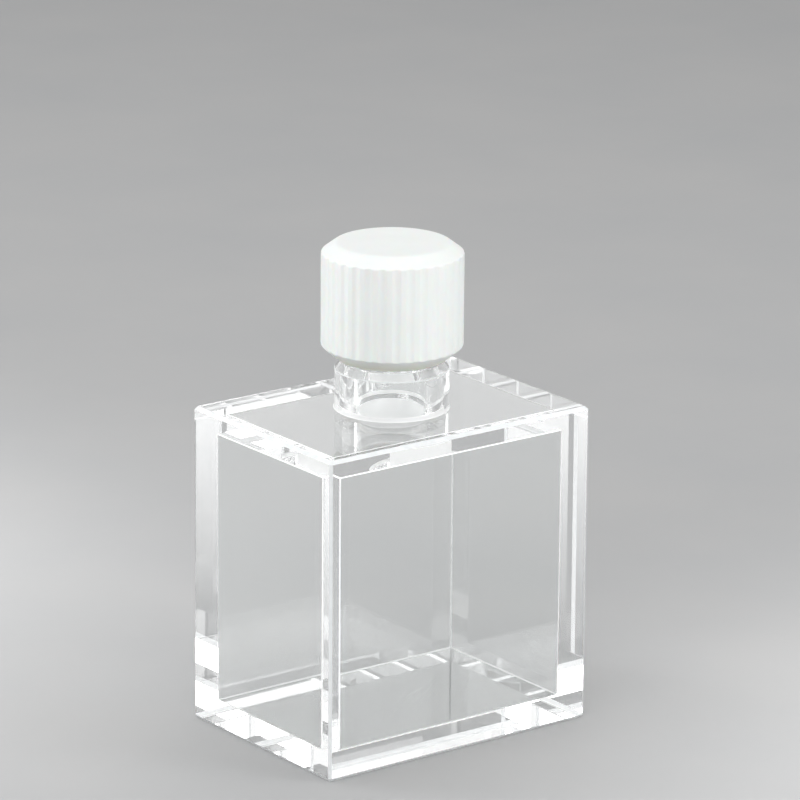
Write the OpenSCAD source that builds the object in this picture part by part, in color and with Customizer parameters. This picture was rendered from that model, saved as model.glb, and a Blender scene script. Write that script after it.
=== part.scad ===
// Screw-cap cuvette: a bevelled clear cell with a round neck, a sealing disc and a ribbed cap.
// Millimetres. The origin is the centre of the base, +Z is up and the wide windows face -Y and +Y.

/* [Cell] */
// Optical path: inside distance between the two wide windows
path_length = 20; // [12:0.5:40]
// Inside width between the two side walls
inside_w = 31; // [14:0.5:60]
// Inside height from the floor to the underside of the lid plate
inside_h = 31.7; // [12:0.1:80]
// Thickness of each wide window
window_t = 3.05; // [1.25:0.05:5]
// Thickness of each side wall
side_t = 2.55; // [1.25:0.05:5]
// Thickness of the base plate
base_t = 2.7; // [1.25:0.05:6]
// Thickness of the lid plate that carries the neck
lid_t = 2.7; // [1.25:0.05:6]
// Leg of the bevel along the edges of the base and the lid plate
edge_bevel = 0.4; // [0.1:0.05:0.8]
// Leg of the bevel along the four upright edges
upright_bevel = 0.3; // [0.1:0.05:0.8]

/* [Neck] */
// Bore of the neck and of the hole through the lid plate
bore_d = 7.9; // [5:0.1:9]
// Wall of the clear collar that stands on the lid plate
collar_wall = 2.5; // [2.3:0.05:3.5]
// Height of the collar's straight side
collar_h = 4.6; // [2:0.1:10]
// Leg of the chamfer round the collar's upper edge
collar_chamfer = 0.8; // [0.2:0.05:1]
// Wall of the slimmer spigot that goes up into the cap
spigot_wall = 1.5; // [1:0.05:1.6]
// Height of the spigot above the collar
spigot_h = 10.1; // [6:0.1:20]
// Leg of the two small chamfers on the spigot's rim
rim_chamfer = 0.25; // [0.1:0.05:0.4]

/* [Cap] */
// Wall of the cap between its bore and the tops of its ribs
cap_wall = 2.3; // [1.6:0.05:4]
// Thickness of the cap's roof
cap_roof = 2.1; // [1.4:0.1:5]
// Radial gap between the spigot and the bore of the cap
thread_gap = 0.25; // [0.1:0.05:0.5]
// Height of the closed cap's mouth above the collar's chamfer
cap_lift = 0.4; // [0.2:0.05:1.5]
// Width of the flat lip round the cap's mouth
mouth_lip = 0.45; // [0.3:0.05:1]
// Height of the cone from the lip out to the ribs
foot_cone_h = 1.55; // [0.5:0.05:3]
// Width of the cone round the cap's top
crown_w = 1.6; // [0.4:0.05:3]
// Height of the cone round the cap's top
crown_h = 1.2; // [0.3:0.05:1.3]
// Number of ribs round the cap
rib_count = 32; // [16:1:40]
// Depth of the flutes between the ribs
flute_depth = 0.1; // [0.06:0.02:0.3]

/* [Seal] */
// Thickness of the sealing disc
seal_t = 1.5; // [0.8:0.1:3]
// Radial gap between the sealing disc and the bore of the cap
seal_gap = 0.15; // [0.05:0.05:0.4]

/* [Hidden] */
$fn = 96;
overrun = 1;

// Outside of the cell
cell_w = inside_w + 2 * side_t;
cell_d = path_length + 2 * window_t;
cell_h = base_t + inside_h + lid_t;

// Radii and levels of the neck
bore_r = bore_d / 2;
collar_r = bore_r + collar_wall;
spigot_r = bore_r + spigot_wall;
shoulder_z = cell_h + collar_h + collar_chamfer;
rim_z = shoulder_z + spigot_h;

// The cap stands clear of the shoulder and is stopped by the disc on the spigot's rim
cap_bore_r = spigot_r + thread_gap;
cap_r = cap_bore_r + cap_wall;
mouth_z = shoulder_z + cap_lift;
cap_depth = rim_z + seal_t - mouth_z;
cap_h = cap_depth + cap_roof;
mouth_r = cap_bore_r + mouth_lip;
crown_r = cap_r - crown_w;

// Each flute is as wide as its share of the rib pitch
flute_width_share = 0.62;
flute_half_w = flute_width_share * PI * cap_r / rib_count;
flute_r = (pow(flute_half_w, 2) + pow(flute_depth, 2)) / (2 * flute_depth);

// Rectangle with its four corners cut at 45 degrees
module cut_corner_rect(w, h, cut) {
    x = w / 2;
    y = h / 2;
    polygon([
        [cut - x, -y], [x - cut, -y], [x, cut - y], [x, y - cut],
        [x - cut, y], [cut - x, y], [-x, y - cut], [-x, cut - y]
    ]);
}

// Block with all twelve edges bevelled, standing on its base
module bevelled_block(w, d, h, cut, upright_cut) {
    translate([0, 0, h / 2])
        intersection() {
            linear_extrude(h, center = true)
                cut_corner_rect(w, d, upright_cut);
            rotate([90, 0, 0])
                linear_extrude(d, center = true)
                    cut_corner_rect(w, h, cut);
            rotate([90, 0, 90])
                linear_extrude(w, center = true)
                    cut_corner_rect(d, h, cut);
        }
}

// Solid of revolution of the neck, rooted in the lid plate
module neck_blank() {
    rotate_extrude()
        polygon([
            [0, cell_h - lid_t],
            [collar_r, cell_h - lid_t],
            [collar_r, shoulder_z - collar_chamfer],
            [collar_r - collar_chamfer, shoulder_z],
            [spigot_r, shoulder_z],
            [spigot_r, rim_z - rim_chamfer],
            [spigot_r - rim_chamfer, rim_z],
            [0, rim_z]
        ]);
}

// Straight bore from the cavity to the rim, with a small chamfer at its mouth
module neck_bore() {
    mouth_start_z = rim_z - rim_chamfer;
    translate([0, 0, cell_h - lid_t - overrun])
        cylinder(r = bore_r, h = rim_z + 2 * overrun - cell_h + lid_t);
    translate([0, 0, mouth_start_z])
        cylinder(r1 = bore_r, r2 = bore_r + rim_chamfer + overrun, h = rim_chamfer + overrun);
}

// Fused clear plates and neck, in one piece
module glass_cell() {
    color([0.86, 0.93, 0.95, 0.4])
        difference() {
            union() {
                bevelled_block(cell_w, cell_d, cell_h, edge_bevel, upright_bevel);
                neck_blank();
            }
            translate([-inside_w / 2, -path_length / 2, base_t])
                cube([inside_w, path_length, inside_h]);
            neck_bore();
        }
}

// Soft disc between the spigot's rim and the roof of the cap
module seal_disc() {
    color([0.93, 0.92, 0.88])
        translate([0, 0, rim_z])
            cylinder(r = cap_bore_r - seal_gap, h = seal_t);
}

// Half section of the cap: lip, cones, ribbed flank and blind bore
module cap_section() {
    polygon([
        [cap_bore_r, 0],
        [mouth_r, 0],
        [cap_r, foot_cone_h],
        [cap_r, cap_h - crown_h],
        [crown_r, cap_h],
        [0, cap_h],
        [0, cap_depth],
        [cap_bore_r, cap_depth]
    ]);
}

// White cap with shallow flutes cut between its ribs
module screw_cap() {
    color([0.96, 0.97, 0.96])
        translate([0, 0, mouth_z])
            difference() {
                rotate_extrude()
                    cap_section();
                for (rib = [0 : rib_count - 1])
                    rotate(rib * 360 / rib_count)
                        translate([cap_r + flute_r - flute_depth, 0, -overrun])
                            cylinder(r = flute_r, h = cap_h + 2 * overrun);
            }
}

glass_cell();
seal_disc();
screw_cap();
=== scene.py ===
import bpy
import math
import numpy as np
from mathutils import Matrix, Vector


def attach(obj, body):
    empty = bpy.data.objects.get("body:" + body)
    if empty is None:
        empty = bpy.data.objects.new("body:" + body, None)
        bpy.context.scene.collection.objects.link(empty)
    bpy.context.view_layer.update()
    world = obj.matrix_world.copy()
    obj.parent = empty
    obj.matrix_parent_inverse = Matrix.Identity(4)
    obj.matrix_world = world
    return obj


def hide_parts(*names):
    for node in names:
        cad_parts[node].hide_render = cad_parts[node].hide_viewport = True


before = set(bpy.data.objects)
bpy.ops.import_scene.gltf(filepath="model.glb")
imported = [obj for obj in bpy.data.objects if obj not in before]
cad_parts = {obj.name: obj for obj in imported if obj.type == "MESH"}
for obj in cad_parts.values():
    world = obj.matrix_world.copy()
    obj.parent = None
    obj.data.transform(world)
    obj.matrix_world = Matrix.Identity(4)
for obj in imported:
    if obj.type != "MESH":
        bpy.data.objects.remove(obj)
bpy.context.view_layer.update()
scene = bpy.context.scene
mm = 0.001  # every size below is written in millimetres
fullTurn = 2 * np.pi
sharpAngle = 24.0  # degrees between two faces, past which their edge stays sharp


# Closed skin: rows of rings are joined into quads round the ring and along the rows, and a
# fan of triangles to one point closes each end. The signed volume decides which way faces run.
# The finish array gives the material number of each quad.
def closedSkin(name, rings, firstPole, lastPole, finish=None):
    rows, cols = rings.shape[:2]
    verts = np.concatenate([rings.reshape(-1, 3), [firstPole], [lastPole]]) * mm
    here = np.arange(rows * cols).reshape(rows, cols)
    nextUp = np.roll(here, -1, axis=1)
    quads = np.stack([here[:-1], nextUp[:-1], nextUp[1:], here[1:]], axis=-1).reshape(-1, 4)
    endPoint = np.full(cols, rows * cols)
    fanA = np.stack([endPoint, nextUp[0], here[0]], axis=-1)
    fanB = np.stack([endPoint + 1, here[-1], nextUp[-1]], axis=-1)
    fans = np.concatenate([fanA, fanB])
    tris = np.concatenate([quads[:, [0, 1, 2]], quads[:, [0, 2, 3]], fans])
    a, b, c = (verts[tris[:, k]] for k in range(3))
    if np.einsum("ij,ij->", a, np.cross(b, c)) < 0:
        quads, fans = quads[:, ::-1], fans[:, ::-1]
    mesh = bpy.data.meshes.new(name)
    mesh.from_pydata(verts.tolist(), [], quads.tolist() + fans.tolist())
    mesh.polygons.foreach_set("use_smooth", np.ones(len(mesh.polygons), dtype=bool))
    if finish is not None:
        numbers = np.concatenate([finish.reshape(-1), np.zeros(len(fans))]).astype(np.int32)
        mesh.polygons.foreach_set("material_index", numbers)
    mesh.set_sharp_from_angle(angle=math.radians(sharpAngle))
    mesh.validate()
    piece = bpy.data.objects.new(name, mesh)
    scene.collection.objects.link(piece)
    return piece


# Profile with soft corners: each inner corner is swapped for the quadratic curve that starts
# one cut length before it and ends one cut length after it, with the corner as its handle.
def softProfile(points, cuts, steps=6):
    points, cuts = np.asarray(points, float), np.asarray(cuts, float)[:, None]
    corner = points[1:-1]
    back = points[:-2] - corner
    ahead = points[2:] - corner
    start = corner + cuts * back / np.linalg.norm(back, axis=1, keepdims=True)
    end = corner + cuts * ahead / np.linalg.norm(ahead, axis=1, keepdims=True)
    start, corner, end = start[:, None], corner[:, None], end[:, None]
    t = np.linspace(0, 1, steps)[None, :, None]
    curve = (1 - t) ** 2 * start + 2 * t * (1 - t) * corner + t**2 * end
    return np.concatenate([points[:1], curve.reshape(-1, 2), points[-1:]])


# Finer profile: every straight step longer than the longest allowed is split into equal parts.
def splitProfile(points, longest):
    length = np.linalg.norm(np.diff(points, axis=0), axis=1)
    parts = np.maximum(1, np.ceil(length / longest)).astype(int)
    knots = np.concatenate([[0], np.cumsum(parts)])
    at = np.arange(knots[-1] + 1)
    return np.stack([np.interp(at, knots, points[:, k]) for k in range(2)], axis=-1)


# Even turn: the angles of equal steps over one full turn.
def evenTurn(steps):
    return np.arange(steps) / steps * fullTurn


# Round skin: each radius and height is carried to its angle about the upright axis.
def roundSkin(radius, z, turn):
    x, y = radius * np.cos(turn), radius * np.sin(turn)
    return np.stack([x, y, np.broadcast_to(z, x.shape)], axis=-1)


# Thread: a ridge that climbs one pitch a turn. Over each pitch it rises, stays flat and falls,
# eased by a smoothstep, and it grows and shrinks over the fade length at its two ends.
def threadRidge(z, turn, part):
    s = np.mod(z / part["threadPitch"] - turn / fullTurn - part["ridgeStart"], 1.0)
    rise, flat = part["ridgeRise"], part["ridgeFlat"]
    up = np.clip(s / rise, 0, 1)
    down = np.clip((2 * rise + flat - s) / rise, 0, 1)
    lift = np.minimum(up, down)
    grow = np.clip((z - part["threadFrom"]) / part["threadFade"], 0, 1)
    shrink = np.clip((part["threadTo"] - z) / part["threadFade"], 0, 1)
    return lift * lift * (3 - 2 * lift) * (grow * shrink)


def newMaterial(name):
    mat = bpy.data.materials.new(name)
    mat.use_nodes = True
    tree = mat.node_tree
    shader = next(n for n in tree.nodes if n.type == "BSDF_PRINCIPLED")
    return mat, tree, shader


def addNode(tree, kind, **settings):
    node = tree.nodes.new(kind)
    for key, value in settings.items():
        setattr(node, key, value)
    return node


# An underscore in a key stands for the space in the socket's name.
def setInputs(node, **values):
    for key, value in values.items():
        node.inputs[key.replace("_", " ")].default_value = value


# Two colours mixed by a factor: the first where it is 0, the second where it is 1.
def mixColours(tree, factor, first, second=None):
    mix = addNode(tree, "ShaderNodeMix", data_type="RGBA")
    mix.inputs["A"].default_value = (*first, 1)
    if second is not None:
        mix.inputs["B"].default_value = (*second, 1)
    tree.links.new(factor, mix.inputs["Factor"])
    return mix


wanderLook = dict(
    cloudDetail=4.0, cloudRough=0.55, grainDetail=3.0, grainRough=0.6,
    toneLow=0.3, toneHigh=0.7,  # the part of the cloud noise that is spread over the tone
)


# Shared effect: cloudy tone and fine grain from two noises on object coordinates.
# Tone wanders slowly between 0 and 1, Grain is the height of the fine surface texture.
def makeWanderGroup():
    look = wanderLook
    group = bpy.data.node_groups.new("surfaceWander", "ShaderNodeTree")
    for label in ("Cloud Size", "Grain Size"):
        group.interface.new_socket(label, in_out="INPUT", socket_type="NodeSocketFloat")
    for label in ("Tone", "Grain"):
        group.interface.new_socket(label, in_out="OUTPUT", socket_type="NodeSocketFloat")
    inside = addNode(group, "NodeGroupInput")
    outside = addNode(group, "NodeGroupOutput")
    place = addNode(group, "ShaderNodeTexCoord")
    cloud = addNode(group, "ShaderNodeTexNoise")
    setInputs(cloud, Detail=look["cloudDetail"], Roughness=look["cloudRough"])
    grain = addNode(group, "ShaderNodeTexNoise")
    setInputs(grain, Detail=look["grainDetail"], Roughness=look["grainRough"])
    spread = addNode(group, "ShaderNodeMapRange")
    setInputs(spread, From_Min=look["toneLow"], From_Max=look["toneHigh"])
    link = group.links.new
    link(place.outputs["Object"], cloud.inputs["Vector"])
    link(place.outputs["Object"], grain.inputs["Vector"])
    link(inside.outputs["Cloud Size"], cloud.inputs["Scale"])
    link(inside.outputs["Grain Size"], grain.inputs["Scale"])
    link(cloud.outputs["Fac"], spread.inputs["Value"])
    link(spread.outputs["Result"], outside.inputs["Tone"])
    link(grain.outputs["Fac"], outside.inputs["Grain"])
    return group


wanderGroup = makeWanderGroup()


def addWander(tree, **sizes):
    node = addNode(tree, "ShaderNodeGroup", node_tree=wanderGroup)
    setInputs(node, **sizes)
    return node


# Base colour wanders between two tones, roughness between two values, and the grain is a bump.
def wanderFinish(name, look):
    mat, tree, shader = newMaterial(name)
    link = tree.links.new
    wander = addWander(tree, Cloud_Size=look["cloudSize"], Grain_Size=look["grainSize"])
    colour = mixColours(tree, wander.outputs["Tone"], look["toneA"], look["toneB"])
    link(colour.outputs["Result"], shader.inputs["Base Color"])
    rough = addNode(tree, "ShaderNodeMapRange")
    setInputs(rough, To_Min=look["roughLow"], To_Max=look["roughHigh"])
    link(wander.outputs["Grain"], rough.inputs["Value"])
    link(rough.outputs["Result"], shader.inputs["Roughness"])
    bump = addNode(tree, "ShaderNodeBump")
    setInputs(bump, Strength=look["bumpStrength"], Distance=look["bumpHeight"] * mm)
    link(wander.outputs["Grain"], bump.inputs["Height"])
    link(bump.outputs["Normal"], shader.inputs["Normal"])
    return mat, tree, shader


# the clear cell with its collar and spigot
cell = dict(
    halfW=18.05, halfD=13.05, height=37.1,  # outside
    edgeBevel=0.4, uprightBevel=0.3, cornerCut=0.06,  # the cut is what stays of an upright bevel
    insideW=15.5, insideD=10.0, floorZ=2.7, ceilingZ=34.4,  # cavity, half sizes and levels
    seamCut=0.14, seamShare=0.25,  # narrow fused corner along the cavity's edges
    boreR=3.95, collarR=6.45, shoulderZ=42.5, collarChamfer=0.8,
    spigotR=5.45, rimZ=52.6, rimChamfer=0.25, spigotRows=104,
    neckFillet=0.12, neckSeam=0.45, filletSteps=6,  # fused ring at the foot of the neck
    shadeGuard=0.03,  # ring beside the fillet that keeps the next face's shading flat
    collarLine=0.07,  # narrow ground line round the collar's upper edge
    threadRoot=0.42, threadPitch=2.0, threadFrom=44.4, threadTo=51.2, threadFade=0.7,
    ridgeStart=0.0, ridgeRise=0.14, ridgeFlat=0.16,  # shares of the pitch
    landGap=0.6, landEase=0.2,  # plain foot of the spigot below the thread
    sideSteps=120, bevelSteps=4,
    chipCount=34, chipDepth=0.09, chipSeed=7,
    chipShare=(0.25, 1.0), chipWidth=(0.6, 1.8),  # share of the depth, width in steps
)
polished, ground, frosted, groundHole = range(4)  # numbers of the cell's finishes


# Ring of a rectangle with cut corners: eight corner points joined by straight lines, with the
# same number of steps along every side and along every cut.
def cutRect(halfW, halfD, cut):
    s, b = cell["sideSteps"], cell["bevelSteps"]
    x, y = halfW, halfD
    corners = np.array([
        (x, cut - y), (x, y - cut), (x - cut, y), (cut - x, y),
        (-x, y - cut), (-x, cut - y), (cut - x, -y), (x - cut, -y), (x, cut - y),
    ])
    knots = np.cumsum([0, s, b, s, b, s, b, s, b])
    at = np.arange(knots[-1])
    return np.stack([np.interp(at, knots, corners[:, k]) for k in range(2)], axis=-1)


ringCount = 4 * (cell["sideSteps"] + cell["bevelSteps"])
ringTurn = (np.arange(ringCount) + cell["bevelSteps"] / 2) / ringCount * fullTurn - np.pi / 4


# Flat ring: an outline set at one height.
def level(outline, z):
    return np.concatenate([outline, np.full((len(outline), 1), z)], axis=1)


# Round ring: the same steps as the cut rectangle's, spread evenly over a full turn.
def roundLevel(radius, z):
    return roundSkin(radius, z, ringTurn)


# Chipped edge: narrow bells at random places along the ring, the deepest one counting, pull
# the outline in.
def chipOutline(outline):
    c = cell
    dice = np.random.default_rng(c["chipSeed"])
    place = dice.integers(0, ringCount, c["chipCount"])
    depth = c["chipDepth"] * dice.uniform(*c["chipShare"], c["chipCount"])
    width = dice.uniform(*c["chipWidth"], c["chipCount"])
    away = np.abs(np.arange(ringCount)[:, None] - place[None, :])
    away = np.minimum(away, ringCount - away)
    chips = (depth * np.exp(-((away / width) ** 2))).max(axis=1)
    return outline - chips[:, None] * np.sign(outline)


# Glass cell: one skin from the middle of the base, up the bevelled outside, across the lid
# plate to the neck, over its rim, down the bore and round the cavity to the middle of its floor.
def makeGlassCell():
    c = cell
    bevel, top = c["edgeBevel"], c["height"]
    outerFoot = cutRect(c["halfW"] - bevel, c["halfD"] - bevel, c["cornerCut"])
    outerWall = cutRect(c["halfW"], c["halfD"], c["uprightBevel"])
    rings = [level(outerFoot, 0.0), level(outerWall, bevel), level(outerWall, top - bevel),
             level(chipOutline(outerFoot), top)]
    lowBevel, outside, highBevel = range(3)  # rows of faces, counted from the base

    # collar: a quarter circle leads from the lid into the straight side and its chamfer
    bend = np.linspace(0, np.pi / 2, c["filletSteps"])
    filletR = c["collarR"] + c["neckFillet"] * (1 - np.sin(bend))
    filletZ = top + c["neckFillet"] * (1 - np.cos(bend))
    rings.append(roundLevel(filletR[0] + c["shadeGuard"], top))
    seamFrom = len(rings)
    rings += [roundLevel(r, z) for r, z in zip(filletR, filletZ)]
    rings += [roundLevel(c["collarR"], filletZ[-1] + c["shadeGuard"]),
              roundLevel(c["collarR"], top + c["neckSeam"])]
    seamTo = len(rings) - 1
    collarTop, line = c["shoulderZ"] - c["collarChamfer"], c["collarLine"]
    rings.append(roundLevel(c["collarR"], collarTop - line))
    lineRow = len(rings) - 1
    rings += [roundLevel(c["collarR"] - line, collarTop + line),
              roundLevel(c["collarR"] - c["collarChamfer"], c["shoulderZ"])]

    # spigot: the radius drops by the thread's depth except on the ridge and on the plain foot
    spigotZ = np.linspace(c["shoulderZ"], c["rimZ"] - c["rimChamfer"], c["spigotRows"])[:, None]
    spigotR = c["spigotR"] - c["threadRoot"] + c["threadRoot"] * threadRidge(spigotZ, ringTurn, c)
    foot = np.clip((c["threadFrom"] - c["landGap"] - spigotZ) / c["landEase"], 0, 1)
    spigotR = spigotR + (c["spigotR"] - spigotR) * foot
    spiral = roundSkin(spigotR, spigotZ, ringTurn)

    # rim, bore and cavity
    seam = c["seamCut"]
    plate = cutRect(c["insideW"] - seam, c["insideD"] - seam, seam * c["seamShare"])
    wall = cutRect(c["insideW"], c["insideD"], seam)
    after = [roundLevel(c["spigotR"] - c["threadRoot"] - c["rimChamfer"], c["rimZ"]),
             roundLevel(c["boreR"] + c["rimChamfer"], c["rimZ"]),
             roundLevel(c["boreR"], c["rimZ"] - c["rimChamfer"]),
             roundLevel(c["boreR"], top), roundLevel(c["boreR"], c["ceilingZ"]),
             level(plate, c["ceilingZ"]), level(wall, c["ceilingZ"] - seam),
             level(wall, c["floorZ"] + seam), level(plate, c["floorZ"])]
    skin = np.concatenate([np.array(rings), spiral, np.array(after)])
    floorSeam = len(skin) - 2  # rows of faces, counted back from the cavity's floor
    inside, ceilingSeam, holeRow = floorSeam - 1, floorSeam - 2, floorSeam - 4

    finish = np.full((len(skin) - 1, ringCount), polished)
    onUpright = np.arange(ringCount) % (c["sideSteps"] + c["bevelSteps"]) >= c["sideSteps"]
    finish[[lowBevel, highBevel, lineRow]] = ground
    finish[outside, onUpright] = ground
    finish[seamFrom:seamTo] = frosted  # fused ring at the foot of the neck
    finish[[ceilingSeam, floorSeam]] = frosted
    finish[inside, onUpright] = frosted
    finish[holeRow] = groundHole
    return closedSkin("glassCell", skin, (0, 0, 0), (0, 0, c["floorZ"]), finish)


glassLook = dict(
    tintA=(0.985, 0.995, 0.992), tintB=(0.99, 0.996, 0.996), cloudSize=90.0, ior=1.458,
)
# the last two values of each ground look set a painted glow, emitted from a face's inner side and
# outer side
groundLook = dict(
    toneA=(0.82, 0.85, 0.86), toneB=(0.92, 0.935, 0.94), cloudSize=900.0, grainSize=14000.0,
    roughLow=0.4, roughHigh=0.62, bumpStrength=0.4, bumpHeight=0.02, paintedGlowIn=0.42, paintedGlowOut=0.0,
)
frostLook = dict(
    toneA=(0.95, 0.96, 0.96), toneB=(0.98, 0.985, 0.985), cloudSize=700.0, grainSize=14000.0,
    roughLow=0.75, roughHigh=0.95, bumpStrength=0.4, bumpHeight=0.02, paintedGlowIn=0.3, paintedGlowOut=0.0,
)
holeLook = dict(frostLook, paintedGlowOut=0.15)  # painted glow on the hole wall's outer side too, standing in for light from inside the lid plate that would come out here


# Clear glass: smooth all over, its faint tint drifting between two tones.
def makeGlassFinish():
    look = glassLook
    mat, tree, shader = newMaterial("clearGlass")
    setInputs(shader, IOR=look["ior"], Transmission_Weight=1.0, Roughness=0.0)
    wander = addWander(tree, Cloud_Size=look["cloudSize"])
    tint = mixColours(tree, wander.outputs["Tone"], look["tintA"], look["tintB"])
    tree.links.new(tint.outputs["Result"], shader.inputs["Base Color"])
    return mat


# Ground glass with a painted glow: emission lifts the inner side of such a face by the share of
# light that would come in through it, and the outer side by the share that would come out.
def makeGroundFinish(name, look):
    mat, tree, shader = wanderFinish(name, look)
    side = addNode(tree, "ShaderNodeNewGeometry")
    paintedGlow = mixColours(tree, side.outputs["Backfacing"],
                     (look["paintedGlowOut"],) * 3, (look["paintedGlowIn"],) * 3)
    # painted glow: the emission colour depends on which side of the face is seen
    tree.links.new(paintedGlow.outputs["Result"], shader.inputs["Emission Color"])
    setInputs(shader, Emission_Strength=1.0)
    mat.cycles.emission_sampling = "NONE"
    return mat


glassCell = makeGlassCell()
glassCell.data.materials.append(makeGlassFinish())  # in the order of the finish numbers
glassCell.data.materials.append(makeGroundFinish("groundGlass", groundLook))
glassCell.data.materials.append(makeGroundFinish("frostedGlass", frostLook))
glassCell.data.materials.append(makeGroundFinish("groundHole", holeLook))
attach(glassCell, "cell")
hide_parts("glass_cell")
print("glass cell:", len(glassCell.data.polygons), "faces")


# the white screw cap
cap = dict(
    mouthZ=42.9, topZ=56.2, boreR=5.7, roofZ=54.1, outerR=8.0,
    mouthLip=0.45, footCone=1.55, crownW=1.6, crownH=1.2,
    softCuts=(0.35, 0.14, 0.14, 0.12, 0.12, 0.2),  # corners from the top round to the roof
    poleR=0.6, longestStep=0.2,
    ribCount=32, ribSteps=14, fluteDepth=0.1, fluteShare=0.62,
    threadDepth=0.4, threadPitch=2.0, threadFrom=44.6, threadTo=51.8, threadFade=0.7,
    ridgeStart=0.52, ridgeRise=0.12, ridgeFlat=0.16,  # between the ridges of the spigot's thread
)
capLook = dict(
    toneA=(0.875, 0.91, 0.892), toneB=(0.9, 0.932, 0.915), cloudSize=260.0, grainSize=5200.0,
    roughLow=0.36, roughHigh=0.52, bumpStrength=0.25, bumpHeight=0.02,
    scatter=0.25, scatterDepth=1.2, ior=1.4,
    lipPaintedShade=(0.80, 0.815, 0.71), lipShadeHeight=1.5,  # painted shade: a darker, warmer tone on the thin lip at the mouth, standing in for shadow and for light through the plastic
)


# Cap: the half section is carried round the axis. Outside, the radius is the smaller of the
# section's and of the fluted drum's; inside, a ridge climbs one pitch a turn.
def makeScrewCap():
    c = cap
    footR, crownR = c["boreR"] + c["mouthLip"], c["outerR"] - c["crownW"]
    outline = softProfile(
        [(c["poleR"], c["topZ"]), (crownR, c["topZ"]), (c["outerR"], c["topZ"] - c["crownH"]),
         (c["outerR"], c["mouthZ"] + c["footCone"]), (footR, c["mouthZ"]),
         (c["boreR"], c["mouthZ"]), (c["boreR"], c["roofZ"]), (c["poleR"], c["roofZ"])],
        c["softCuts"],
    )
    outline = splitProfile(outline, c["longestStep"])
    radius, z = outline[:, :1], outline[:, 1:]
    turn = evenTurn(c["ribCount"] * c["ribSteps"])
    onBore = np.isclose(radius, c["boreR"])

    # flutes: distance to a cutter circle whose centre lies outside the drum, one to each rib
    pitch = fullTurn / c["ribCount"]
    off = np.mod(turn + pitch / 2, pitch) - pitch / 2
    halfWidth = c["fluteShare"] * np.pi * c["outerR"] / c["ribCount"]
    cutterR = (halfWidth**2 + c["fluteDepth"]**2) / (2 * c["fluteDepth"])
    centre = c["outerR"] + cutterR - c["fluteDepth"]
    inside = np.maximum(cutterR**2 - (centre * np.sin(off)) ** 2, 0)
    drum = np.where(np.abs(centre * np.sin(off)) < cutterR,
                    centre * np.cos(off) - np.sqrt(inside), c["outerR"])
    radius = np.minimum(radius, np.minimum(drum, c["outerR"]))
    radius = radius - onBore * c["threadDepth"] * threadRidge(z, turn, c)
    return closedSkin("screwCap", roundSkin(radius, z, turn), (0, 0, c["topZ"]), (0, 0, c["roofZ"]))


# White cap: below the given height, the wandering tone is mixed into a painted shade, the lip's
# darker and warmer tone.
def makeCapFinish():
    look = capLook
    mat, tree, shader = wanderFinish("capWhite", look)
    setInputs(shader, Subsurface_Weight=look["scatter"], IOR=look["ior"],
              Subsurface_Scale=look["scatterDepth"] * mm)
    place = addNode(tree, "ShaderNodeTexCoord")
    split = addNode(tree, "ShaderNodeSeparateXYZ")
    # painted shade: the darker, warmer lip tone fades out over the given height above the mouth
    rise = addNode(tree, "ShaderNodeMapRange", interpolation_type="SMOOTHSTEP")
    setInputs(rise, From_Min=cap["mouthZ"] * mm, From_Max=(cap["mouthZ"] + look["lipShadeHeight"]) * mm)
    colour = mixColours(tree, rise.outputs["Result"], look["lipPaintedShade"])
    drift = shader.inputs["Base Color"].links[0].from_socket
    tree.links.new(place.outputs["Object"], split.inputs["Vector"])
    tree.links.new(split.outputs["Z"], rise.inputs["Value"])
    tree.links.new(drift, colour.inputs["B"])
    tree.links.new(colour.outputs["Result"], shader.inputs["Base Color"])
    return mat


screwCap = makeScrewCap()
screwCap.data.materials.append(makeCapFinish())
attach(screwCap, "cap")
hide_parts("screw_cap")
print("screw cap:", len(screwCap.data.polygons), "faces")


# the sealing disc
seal = dict(
    radius=5.55, lowZ=52.6, highZ=54.1, soft=0.25, steps=160, poleR=0.5,
    ringMark=4.5, markDepth=0.05, markWidth=0.6, markSoft=0.2,  # shallow print of the rim
)
sealLook = dict(
    toneA=(0.83, 0.82, 0.77), toneB=(0.88, 0.87, 0.83), cloudSize=500.0, grainSize=7000.0,
    roughLow=0.5, roughHigh=0.68, bumpStrength=0.3, bumpHeight=0.02,
)


# Disc: a rectangle with soft corners carried round the axis, with the rim's shallow print below.
def makeSealDisc():
    s = seal
    mark, wide = s["ringMark"], s["markWidth"]
    low, high = s["lowZ"], s["highZ"]
    outline = softProfile(
        [(s["poleR"], high), (s["radius"], high), (s["radius"], low), (mark + wide, low),
         (mark, low + s["markDepth"]), (mark - wide, low), (s["poleR"], low)],
        [s["soft"]] * 2 + [s["markSoft"]] * 3,
    )
    skin = roundSkin(outline[:, :1], outline[:, 1:], evenTurn(s["steps"]))
    return closedSkin("sealDisc", skin, (0, 0, high), (0, 0, low))


sealDisc = makeSealDisc()
sealDisc.data.materials.append(wanderFinish("sealSilicone", sealLook)[0])
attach(sealDisc, "seal")
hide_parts("seal_disc")
print("sealing disc:", len(sealDisc.data.polygons), "faces")


# the floor and the room
stage = dict(
    floorR=3000.0, drop=0.05, rings=40, spokes=96,
    shownPale=(0.95, 0.95, 0.95), fill=(0.25, 0.25, 0.25),
)
floorLook = dict(
    toneA=(0.48, 0.485, 0.49), toneB=(0.505, 0.505, 0.505), cloudSize=30.0, grainSize=900.0,
    roughLow=0.8, roughHigh=0.95, bumpStrength=0.05, bumpHeight=0.05,
)


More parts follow.
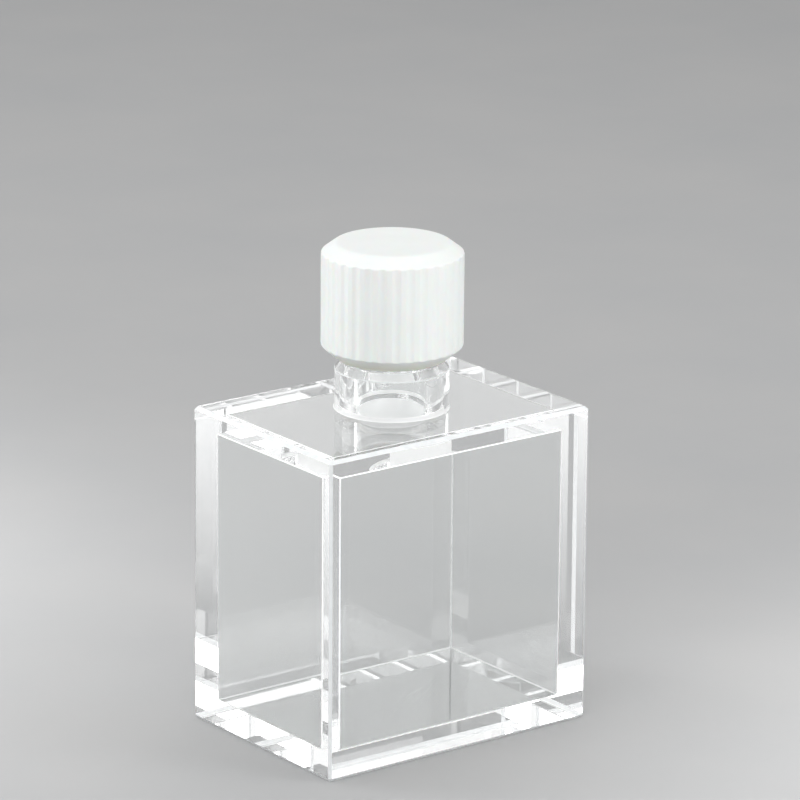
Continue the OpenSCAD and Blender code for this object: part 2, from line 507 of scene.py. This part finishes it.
# Floor: a flat round sheet whose rings lie at squared steps, so closer together in the middle.
def makeFloor():
    s = stage
    far = s["floorR"] * np.linspace(0, 1, s["rings"] + 1)[1:] ** 2
    sheet = roundSkin(far[:, None], -s["drop"], evenTurn(s["spokes"]))
    verts = np.concatenate([sheet.reshape(-1, 3), [(0, 0, -s["drop"])]]) * mm
    here = np.arange(s["rings"] * s["spokes"]).reshape(s["rings"], s["spokes"])
    side = np.roll(here, -1, axis=1)
    quads = np.stack([here[:-1], here[1:], side[1:], side[:-1]], axis=-1).reshape(-1, 4)
    fan = np.stack([np.full(s["spokes"], len(verts) - 1), here[0], side[0]], axis=-1)
    mesh = bpy.data.meshes.new("paleFloor")
    mesh.from_pydata(verts.tolist(), [], quads.tolist() + fan.tolist())
    floor = bpy.data.objects.new("paleFloor", mesh)
    scene.collection.objects.link(floor)
    floor.data.materials.append(wanderFinish("paleFloor", floorLook)[0])


# World: pale for what the camera, gloss and glass see, an even fill for everything else.
def makeRoom():
    world = bpy.data.worlds.new("paleRoom")
    scene.world = world
    world.use_nodes = True
    tree = world.node_tree
    tree.nodes.clear()
    fillLight = addNode(tree, "ShaderNodeBackground")
    setInputs(fillLight, Color=(*stage["fill"], 1))
    shownLight = addNode(tree, "ShaderNodeBackground")
    setInputs(shownLight, Color=(*stage["shownPale"], 1))
    path = addNode(tree, "ShaderNodeLightPath")
    seenA = addNode(tree, "ShaderNodeMath", operation="MAXIMUM")
    seenB = addNode(tree, "ShaderNodeMath", operation="MAXIMUM")
    mix = addNode(tree, "ShaderNodeMixShader")
    out = addNode(tree, "ShaderNodeOutputWorld")
    link = tree.links.new
    link(path.outputs["Is Camera Ray"], seenA.inputs[0])
    link(path.outputs["Is Glossy Ray"], seenA.inputs[1])
    link(seenA.outputs["Value"], seenB.inputs[0])
    link(path.outputs["Is Transmission Ray"], seenB.inputs[1])
    link(seenB.outputs["Value"], mix.inputs[0])
    link(fillLight.outputs["Background"], mix.inputs[1])
    link(shownLight.outputs["Background"], mix.inputs[2])
    link(mix.outputs["Shader"], out.inputs["Surface"])


makeFloor()
makeRoom()

softboxes = {  # place, aim and size in millimetres, power in watts
    "topBox": dict(place=(0, 40, 620), aim=(0, 0, 30), size=(700, 600), power=1.8),
    "leftBox": dict(place=(-560, -60, 210), aim=(0, 0, 40), size=(440, 420), power=0.9),
    "frontBox": dict(place=(-520, -690, 340), aim=(0, 0, 40), size=(1100, 640), power=2.4),
    "rightBox": dict(place=(345, -490, 200), aim=(0, 0, 30), size=(300, 340), power=1.6),
    "farBox": dict(place=(-385, 480, 210), aim=(0, 0, 30), size=(300, 340), power=1.3),
}
floorPools = {  # soft pools on the floor beside the picture, which light the walls from low down
    "leftPool": dict(place=(-72, 100, 420), power=7.0, angle=26.0, softness=50.0),
    "rightPool": dict(place=(80, -92, 420), power=8.0, angle=26.0, softness=50.0),
}


# A lamp's holder, which the camera does not see.
def addLamp(name, lamp, matrix):
    holder = bpy.data.objects.new(name, lamp)
    scene.collection.objects.link(holder)
    holder.matrix_world = matrix
    holder.visible_camera = False


# Softbox: a rectangle of light turned to face its aim.
def makeSoftbox(name, box):
    lamp = bpy.data.lights.new(name, "AREA")
    lamp.shape = "RECTANGLE"
    lamp.size, lamp.size_y = (v * mm for v in box["size"])
    lamp.energy = box["power"]
    away = Vector(box["place"]) - Vector(box["aim"])
    turn = away.to_track_quat("Z", "Y").to_matrix().to_4x4()
    addLamp(name, lamp, Matrix.Translation(Vector(box["place"]) * mm) @ turn)


# Pool: a spot straight above the floor, soft from its middle to its edge.
def makePool(name, pool):
    lamp = bpy.data.lights.new(name, "SPOT")
    lamp.energy = pool["power"]
    lamp.spot_size, lamp.spot_blend = math.radians(pool["angle"]), 1.0
    lamp.shadow_soft_size = pool["softness"] * mm
    addLamp(name, lamp, Matrix.Translation(Vector(pool["place"]) * mm))


for boxName, boxValues in softboxes.items():
    makeSoftbox(boxName, boxValues)
for poolName, poolValues in floorPools.items():
    makePool(poolName, poolValues)

view = dict(
    azimuth=-37.17, elevation=16.73, roll=0.44, distance=588.84,
    target=(1.178, 0.0, 37.585), lens=236.05, sensor=36.0, near=10.0, far=20000.0,
)


# Camera: set back from its target along the azimuth and elevation, then rolled about that line.
def makeCamera():
    v = view
    az, el, roll = (math.radians(v[k]) for k in ("azimuth", "elevation", "roll"))
    back = Vector((math.sin(az) * math.cos(el), -math.cos(az) * math.cos(el), math.sin(el)))
    flat = Vector((math.cos(az), math.sin(az), 0))
    steep = back.cross(flat)
    right = flat * math.cos(roll) + steep * math.sin(roll)
    up = steep * math.cos(roll) - flat * math.sin(roll)
    lens = bpy.data.cameras.new("photoCamera")
    lens.lens, lens.sensor_width, lens.sensor_fit = v["lens"], v["sensor"], "HORIZONTAL"
    lens.clip_start, lens.clip_end = v["near"] * mm, v["far"] * mm
    camera = bpy.data.objects.new("photoCamera", lens)
    scene.collection.objects.link(camera)
    place = Matrix.Translation((Vector(v["target"]) + back * v["distance"]) * mm)
    camera.matrix_world = place @ Matrix((right, up, back)).transposed().to_4x4()
    scene.camera = camera


makeCamera()
scene.view_settings.view_transform = "Standard"
lightBounces = 128  # light is passed on many times inside clear walls
scene.cycles.max_bounces = lightBounces
scene.cycles.glossy_bounces = lightBounces
scene.cycles.transmission_bounces = lightBounces
print("floor, softboxes and camera set")
